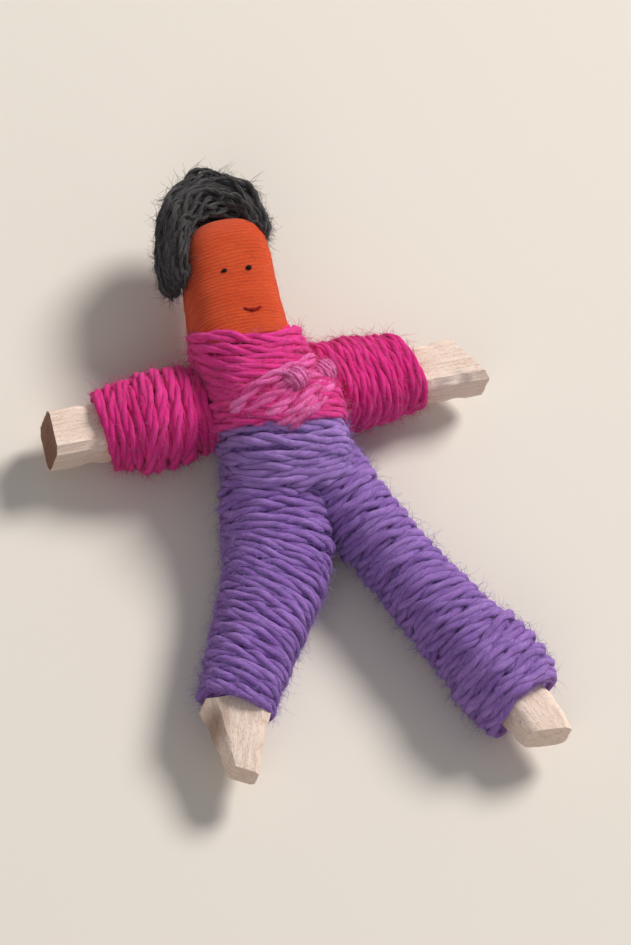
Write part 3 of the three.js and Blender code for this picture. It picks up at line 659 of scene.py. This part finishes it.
# Lighter strands cross the chest from the waist up towards the right armpit, with two knots on them; they are the
# shirt's thread, painted lighter as highlight
cross = Bundle()
CHEST_STRANDS = [
    [(-1.75, -1.35), (-0.75, -0.65), (0.45, 0.00), (1.35, 0.42), (1.95, 0.70)],
    [(-1.30, -1.60), (-0.35, -0.95), (0.75, -0.20), (1.50, 0.22), (2.00, 0.50)],
    [(-0.75, -1.75), (0.15, -1.15), (1.05, -0.50), (1.60, -0.10), (2.05, 0.30)],
    [(-1.95, -0.95), (-1.10, -0.25), (0.05, 0.30), (0.95, 0.62), (1.70, 0.92)],
    [(-0.15, -1.80), (0.75, -1.25), (1.40, -0.70), (1.85, -0.25), (2.10, 0.05)],
]
for index, places in enumerate(CHEST_STRANDS):
    jitter = rng.normal(0, 0.05, (len(places), 2))
    lift = np.full((len(places), 1), 0.12 + 0.05 * index)
    path = trunk.front(np.hstack([np.array(places) + jitter, lift]))
    cross.floss(path, np.broadcast_to(UP, path.shape), 0.5, tone=0.08, lay=2.6)
KNOT_AXIS = np.array([0.85, 0.53, 0.0])
KNOT_SIDE = np.array([-0.53, 0.85, 0.0])
KNOT_REACH, KNOT_GIRTH, KNOT_TURNS = 0.42, 0.38, 5.2
for x, y, lift in ((2.0, 0.42, 0.22), (0.58, 0.04, 0.18)):
    middle = trunk.front([(x - 0.1, y, lift), (x, y, lift), (x + 0.1, y, lift)])[40]
    along = np.linspace(0.12, 0.88, 150)
    swell = np.sin(along * math.pi) ** 0.8 * KNOT_GIRTH
    turning = along * FULL_TURN * KNOT_TURNS
    ball = (np.cos(along * math.pi)[:, None] * -KNOT_REACH * KNOT_AXIS
            + (np.cos(turning) * swell)[:, None] * KNOT_SIDE + (np.sin(turning) * swell)[:, None] * UP)
    cross.floss(middle + ball, ball, 0.31, tone=0.5, lay=1.8)
    axis = np.linspace(-0.36, 0.36, 24)
    girth = (1 - (axis / KNOT_REACH) ** 2) ** 0.4 * 0.36
    cross.tube(middle + axis[:, None] * KNOT_AXIS, np.broadcast_to(UP, (24, 3)), girth, taper=0.1)
cross.build("chest_strands", MAGENTA_PAINTED_HIGHLIGHT)
cross.fuzz("chest_strands_fibres", MAGENTA_FUZZ, "shirt_thread", 1100)


# Head


HEAD_SIDES = 128
THREAD_PITCH = 0.15
HEAD_BASE, HEAD_DOME, HEAD_TOP = 1.35, 5.45, 6.78
HEAD_HEIGHT = 3.42
HEAD_DEPTH, HEAD_SQUARENESS = 0.9, 2.5


def head_at(y):
    """Middle and half width of the head, which leans a little towards the right sleeve."""
    share = np.clip((y - 2.3) / 3.9, 0, 1)
    return -0.48 + 0.53 * share, 1.87 - 0.2 * share


def head_skin():
    """Fine thread wound round the top of the spine stick and over its rounded end."""
    low = np.arange(HEAD_BASE, HEAD_DOME, THREAD_PITCH / 6)
    dome = np.linspace(0, 1, 56)[1:-1]
    heights = np.concatenate([low, HEAD_DOME + (HEAD_TOP - HEAD_DOME) * np.sin(dome * math.pi / 2)])
    middle, wide = head_at(heights)
    closing = np.concatenate([np.ones(len(low)), np.cos(dome * math.pi / 2) ** 0.72])
    angle = np.arange(HEAD_SIDES) / HEAD_SIDES * FULL_TURN
    y, a = np.meshgrid(heights, angle, indexing="ij")
    slant = y + 0.05 * a / FULL_TURN + 0.03 * np.sin(a * 2 + y * 1.3) + 0.016 * np.sin(a * 5 + y * 3.1)
    ridge = np.abs(np.sin(slant / THREAD_PITCH * math.pi)) ** 0.8
    reach = section_reach(a, wide[:, None], wide[:, None] * HEAD_DEPTH, HEAD_SQUARENESS)
    uneven = 0.014 * np.sin(y * 2.3 + a) + 0.01 * np.sin(y * 5.1 + a * 3)
    reach = (reach + 0.024 * (ridge - 1) + uneven) * closing[:, None]
    points = np.stack([middle[:, None] - np.cos(a) * reach, y, HEAD_HEIGHT + np.sin(a) * reach], axis=-1)
    return points, ridge, a, slant


head_points, head_ridge, head_angle, head_slant = head_skin()
head = Bundle()
flat = head_points.reshape(-1, 3)
centre_line = np.stack([head_at(flat[:, 1])[0], flat[:, 1], flat[:, 1] * 0 + HEAD_HEIGHT], axis=-1)
strand = np.stack([
    np.cos(head_slant * 21) * 0.25, np.sin(head_slant * 21) * 0.25, head_angle * 1.6 + head_slant * 9,
], axis=-1)
# Painted shade and highlight: the grooves between the turns of fine thread are darker, the ridges lighter.
head.add(flat, head.grid_faces(head_points.shape[0], HEAD_SIDES), strand.reshape(-1, 3),
         0.45 + 0.4 * head_ridge.reshape(-1), unit(flat - centre_line) * (flat[:, 1:2] < HEAD_DOME), flat * 0)
head_piece = head.build("face_yarn", TERRACOTTA)
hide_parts("face_wrap")
head.fuzz("face_yarn_fibres", TERRACOTTA_FUZZ, "face_thread", 900, length=0.3, rise=0.04, thickness=0.006)


def on_face(x, y, lift):
    """A place on the front of the head."""
    middle, wide = head_at(y)
    side = min(abs(x - middle) / wide, 0.98)
    rise = wide * HEAD_DEPTH * (1 - side**HEAD_SQUARENESS) ** (1 / HEAD_SQUARENESS)
    return np.array([x, y, HEAD_HEIGHT + rise + lift])


def stitch(name, places, radius, material):
    path = smooth_through([on_face(x, y, lift) for x, y, lift in places], 40)[1]
    thickness = radius * (1 + wander(lengths_along(path), 0.1, (3.0, 5.0)))
    bundle = Bundle()
    bundle.tube(path, np.broadcast_to(UP, path.shape), thickness, sides=10, taper=0.1)
    return bundle.build(name, material)


stitch("right_eye", [(0.09, 4.11, -0.07), (0.2, 4.12, 0.03), (0.31, 4.10, -0.07)], 0.085, BLACK)
stitch("left_eye", [(-0.85, 4.17, -0.07), (-0.75, 4.18, 0.025), (-0.65, 4.17, -0.07)], 0.075, BLACK)
stitch("mouth", [
    (-0.54, 2.50, -0.07), (-0.38, 2.37, 0.01), (-0.16, 2.31, 0.02), (0.05, 2.35, 0.01), (0.19, 2.47, -0.07),
], 0.062, RED)


# Hair


INNER_HAIR = [
    (-2.02, 4.48), (-1.94, 4.90), (-1.76, 5.40), (-1.56, 5.92), (-1.25, 6.40), (-0.66, 6.74), (0.05, 6.80),
    (0.82, 6.56), (1.28, 6.12), (1.46, 5.86),
]
OUTER_HAIR = [
    (-2.34, 4.48), (-2.60, 4.95), (-2.58, 5.80), (-2.28, 6.80), (-1.86, 7.75), (-1.32, 8.42), (-0.65, 8.82),
    (0.15, 8.90), (0.98, 8.60), (1.52, 8.00), (1.78, 7.30), (1.94, 6.60), (1.92, 6.15), (1.82, 5.84),
]
HAIR_HEIGHT, HAIR_DEPTH, CROWN_DEPTH = 3.45, 0.95, 0.4


def hair_strands(bundle, count):
    """Woolly strands that lie round the top of the head; the front ones close in over its edge."""
    steps = 52
    _, inner = smooth_through([(x, y, 0) for x, y in INNER_HAIR], steps)
    _, outer = smooth_through([(x, y, 0) for x, y in OUTER_HAIR], steps)
    for _ in range(count):
        ring = rng.uniform(0, FULL_TURN)
        far = math.sqrt(rng.uniform(0, 1))
        depth = far * math.cos(ring)
        layer = 0.5 + 0.5 * far * math.sin(ring)
        start = int(max(0, rng.normal(1.2, 1.8)))
        stop = steps - int(max(0, rng.normal(1.2, 1.8)))
        share = np.linspace(0, 1, steps)[start:stop]
        drift = np.clip(layer + wander(share, 0.1, (0.9, 2.1, 4.3)), 0.03, 1.0)[:, None]
        path = inner[start:stop] * (1 - drift) + outer[start:stop] * drift
        path += unit(np.array([-0.1, 4.9, 0]) - path) * (1 - drift) * 0.42 * max(depth, 0)
        crown = np.sin(share * math.pi)
        deep = depth * (HAIR_DEPTH + CROWN_DEPTH * crown)
        path[:, 2] = HAIR_HEIGHT + deep + wander(share, 0.15, (0.8, 2.3, 4.9))
        outward = unit(path - np.array([0, 5.2, 3.4]))
        bundle.floss(path, outward, rng.uniform(0.2, 0.3), plies=2, flat=0.9, lay=rng.uniform(0.9, 1.6),
                     tone=rng.normal(0, 0.1), taper=0.15, sides=6)


def hair_core(bundle):
    """The inside of the hair, painted in its darkest tone as shade, so that nothing shows through between the
    strands.
    """
    _, inner = smooth_through([(x, y, 0) for x, y in INNER_HAIR], 40)
    _, outer = smooth_through([(x, y, 0) for x, y in OUTER_HAIR], 40)
    share = np.linspace(0, 1, 40)[:, None]
    ending = np.sqrt(np.clip(np.minimum(share, 1 - share) / 0.08, 0.02, 1))
    angle = (np.arange(24) / 24 * FULL_TURN)[None, :]
    wide = (0.8 * ending * np.cos(angle))[..., None]
    rings = ((inner + outer) / 2)[:, None, :] + ((outer - inner) / 2)[:, None, :] * wide
    deep = HAIR_DEPTH + CROWN_DEPTH * np.sin(share * math.pi)
    rings[..., 2] = HAIR_HEIGHT + 0.92 * deep * ending * np.sin(angle)
    bundle.loft(rings[:, ::-1], crest=0.0)


hair = Bundle()
hair_core(hair)
hair_strands(hair, 120)
hair_piece = hair.build("hair_yarn", CHARCOAL)
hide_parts("inner_hair_strand_1", "inner_hair_strand_2", "inner_hair_strand_3",
            "outer_hair_strand_1", "outer_hair_strand_2")
hair.fuzz("hair_yarn_fibres", CHARCOAL_FUZZ, "hair_yarn", 6500, length=0.5, rise=0.07, thickness=0.01)


# Sticks


STICK_HEIGHT = 1.7
ARM_STICK_HALF, LEG_STICK_HALF = 0.95, 0.875
LEG_MEETING = (0.66, -1.65, STICK_HEIGHT)
STICK_CORNERS = ((1, -0.72), (1, 0.72), (0.72, 1), (-0.72, 1), (-1, 0.72), (-1, -0.72), (-0.72, -1), (0.72, -1))
FLAT_STEPS, BEVEL_STEPS = 8, 2
RING_SPACING = 0.11
SIDE_SHADE_PAST, SIDE_SHADE_OUT, SIDE_SHADE_LENGTH, SIDE_SHADE_WIDTH = 0.9, 1.1, 0.8, 0.5


def extruded(name, stack):
    """A closed skin, extruded from ring to ring. A ring has the places, grains and painted shade of its points.
    """
    shape = bmesh.new()
    grain_layer = shape.verts.layers.float_vector.new("grain")
    end_shade_layer = shape.verts.layers.float.new("end")
    points = bmesh.ops.create_circle(shape, segments=len(stack[0][0]))["verts"]
    edges = shape.edges[:]
    for index, (places, grains, tones) in enumerate(stack):
        if index:
            fresh = bmesh.ops.extrude_edge_only(shape, edges=edges)["geom"]
            added = {part for part in fresh if isinstance(part, bmesh.types.BMVert)}
            edges = [part for part in fresh
                     if isinstance(part, bmesh.types.BMEdge) and added.issuperset(part.verts)]
            points = [next(edge.other_vert(point) for edge in point.link_edges if edge.other_vert(point) in added)
                      for point in points]
        for point, place, grain, tone in zip(points, places * MM, grains, tones):
            point.co = place
            point[grain_layer] = grain
            point[end_shade_layer] = tone
    bmesh.ops.holes_fill(shape, edges=shape.edges, sides=0)
    bmesh.ops.recalc_face_normals(shape, faces=shape.faces)
    mesh = bpy.data.meshes.new(name)
    shape.to_mesh(mesh)
    shape.free()
    return mesh


def split_stick(name, node, origin, way, rings, end_shades, seed, side_shade=0.0):
    """A stick through eight-sided rings, with ribs of grain, worn edges and rough ends.

    A ring has its distance, half width, slant, sideways shift and sideways stretch. End shades paint the two cut
    ends darker brown, and side shade browns one edge, a little past the last ring but one: both are painted
    shade.
    """
    origin, along = np.array(origin, float), unit(np.array([*way, 0.0]))
    across, up = np.cross(UP, along), UP
    noise = np.random.default_rng(seed)
    corners = np.array(STICK_CORNERS)
    parts = zip(corners, np.roll(corners, -1, axis=0), (FLAT_STEPS, BEVEL_STEPS) * 4)
    outline = np.vstack([
        corner + (following - corner) * np.arange(steps)[:, None] / steps for corner, following, steps in parts
    ])
    table = np.array(rings, float)
    rows = [table[0]]
    for low, high in zip(table, table[1:]):
        count = max(2, int((high[0] - low[0]) / RING_SPACING))
        rows += [low + (high - low) * (index + 1) / count for index in range(count)]
    rib = noise.normal(0, 0.011, len(outline))
    phase = noise.uniform(0, FULL_TURN, len(outline))
    edge = np.clip((np.hypot(outline[:, 0], outline[:, 1]) - 1.1) / 0.13, 0, 1)

    def ring(row, shrink, tone=0.0):
        distance, half, slant, shift, stretch = row
        swell = 1 + rib + 0.008 * np.sin(distance * 1.3 + phase) + 0.008 * np.sin(distance * 4.1 + phase * 2)
        worn = np.sin(distance * 2.3 + phase[0]) + np.sin(distance * 5.7 + phase[9])
        swell -= edge * 0.035 * np.clip(worn, 0, 2)
        x, y = (outline * half * shrink * swell[:, None]).T
        rough = (1 - shrink) * 0.09 * np.sin(x * 9 + phase[1]) * np.sin(y * 7 + phase[2])
        place = distance + slant * x + rough
        sideways = shift + stretch * x
        # Painted shade: a brown patch on the outer side, past the last ring but one.
        spot = np.hypot((place - table[-2][0] - SIDE_SHADE_PAST) / SIDE_SHADE_LENGTH, (sideways + SIDE_SHADE_OUT) / SIDE_SHADE_WIDTH)
        return (origin + along * place[:, None] + across * sideways[:, None] + up * y[:, None],
                np.stack([sideways, y, place], axis=-1),
                np.maximum(tone, side_shade * np.clip(1.3 - spot, 0, 1)))

    closing = (0.94, 0.8, 0.6, 0.4, 0.2, 0.04)
    # Painted shade: the end caps are browned by their end shades.
    stack = [ring(rows[0], shrink, end_shades[0]) for shrink in closing[::-1]]
    stack += [ring(row, 1.0) for row in rows]
    stack += [ring(rows[-1], shrink, end_shades[1]) for shrink in closing]
    mesh = extruded(name, stack)
    piece = put(mesh, name, WOOD)
    mesh.set_sharp_from_angle(angle=math.radians(32))
    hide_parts(node)
    return piece


def leg_rings(direction, ankle, foot, spread, end_half, end_shift, slant):
    half = LEG_STICK_HALF
    return [
        (-0.05, half * 0.72, 0, 0, 1), (ankle, half, 0, 0, 1),
        (ankle + 0.3, half, 0, direction * spread / 2, 1 + spread / 2 / half),
        (ankle + foot, half * end_half, slant, -direction * end_shift, 1),
    ]


def way_down(direction, degrees):
    return (direction * math.sin(math.radians(degrees)), -math.cos(math.radians(degrees)))


split_stick("arm_stick_wood", "arm_stick", (0, 0, STICK_HEIGHT), (1, 0), [
    (-8.35, ARM_STICK_HALF, 0.08, 0, 1), (8.4, ARM_STICK_HALF, -0.6, 0, 1),
], (0.85, 0.12), 3)
split_stick("left_leg_wood", "left_leg_stick", LEG_MEETING, way_down(-1, 24.5),
            leg_rings(-1, 11.6, 2.8, 0.75, 0.62, 0.26, 0.1), (0, 0.1), 5, side_shade=0.6)
split_stick("right_leg_wood", "right_leg_stick", LEG_MEETING, way_down(1, 24.3),
            leg_rings(1, 13.9, 1.4, 0.1, 0.85, 0.1, 0.55), (0, 0), 8)


def dress(node, material):
    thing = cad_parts[node]
    thing.data.materials.clear()
    thing.data.materials.append(material)


dress("spine_stick", buried_wood_material())
twine = buried_string_material()
dress("chest_lashing", twine)
dress("hip_lashing", twine)


# Floor and lights, in metres


def plain_material(name, tint, roughness):
    surface = Surface(name, roughness)
    spots = surface.noise(surface.place(), 40.0, 2.0)
    return surface.finish(surface.mix(spots, shaded(tint, 0.985), tint), spots, 0.00002)


FLOOR_REACH = 1.5
floor_shape = bmesh.new()
bmesh.ops.create_grid(floor_shape, x_segments=1, y_segments=1, size=FLOOR_REACH)
floor_mesh = bpy.data.meshes.new("floor")
floor_shape.to_mesh(floor_mesh)
floor_shape.free()
floor_mesh.materials.append(plain_material("pale_floor", colour(222, 214, 204), 0.8))
floor = bpy.data.objects.new("floor", floor_mesh)
bpy.context.collection.objects.link(floor)


DOLL_PLACE = Vector((0, -0.003, 0))


def lamp(name, place, size, power, tint):
    data = bpy.data.lights.new(name, "AREA")
    data.shape = "DISK"
    data.size = size
    data.energy = power
    data.color = tint
    thing = bpy.data.objects.new(name, data)
    thing.location = place
    thing.rotation_euler = (DOLL_PLACE - Vector(place)).to_track_quat("-Z", "Y").to_euler()
    bpy.context.collection.objects.link(thing)


lamp("key", (0.27, 0.15, 0.30), 0.16, 2.0, (1.0, 0.98, 0.95))
lamp("fill", (-0.25, -0.3, 0.35), 0.3, 0.36, (0.98, 0.98, 1.0))

world = bpy.data.worlds.new("studio")
bpy.context.scene.world = world
world.use_nodes = True
world.node_tree.nodes["Background"].inputs[0].default_value = (0.9, 0.92, 0.95, 1)
world.node_tree.nodes["Background"].inputs[1].default_value = 0.32


# Camera, fitted to the photograph. Places in the photograph are in its pixels.

PHOTO_HEIGHT = 945
SENSOR_WIDTH = 36
CAMERA_PLACE = np.array([-147.14, -191.63, 419.15])
CAMERA_RIGHT = np.array([0.94798, -0.27053, 0.16779])
CAMERA_UP = np.array([0.17401, 0.88172, 0.43851])
CAMERA_FORWARD = np.array([0.26658, 0.3865, -0.88293])
PHOTO_FOCUS, PHOTO_MIDDLE = 2968.0, (315.5, 472.5)
DOLL_MIDDLE = (437.5, 417.5)
ENLARGED = 4.3

doll_right = (DOLL_MIDDLE[0] - PHOTO_MIDDLE[0]) / PHOTO_FOCUS
doll_down = (DOLL_MIDDLE[1] - PHOTO_MIDDLE[1]) / PHOTO_FOCUS
aim = unit(CAMERA_FORWARD + CAMERA_RIGHT * doll_right - CAMERA_UP * doll_down)
right = unit(np.cross(aim, CAMERA_UP))
upward = np.cross(right, aim)
camera_data = bpy.data.cameras.new("camera")
camera_data.sensor_width = SENSOR_WIDTH
camera_data.lens = SENSOR_WIDTH * PHOTO_FOCUS * ENLARGED / PHOTO_HEIGHT
camera_data.clip_start = 0.01
camera_data.clip_end = 20
camera = bpy.data.objects.new("camera", camera_data)
turn = Matrix((right, upward, -aim)).transposed().to_4x4()
camera.matrix_world = Matrix.Translation(Vector(CAMERA_PLACE * MM)) @ turn
bpy.context.collection.objects.link(camera)
bpy.context.scene.camera = camera

bpy.context.scene.view_settings.view_transform = "Standard"
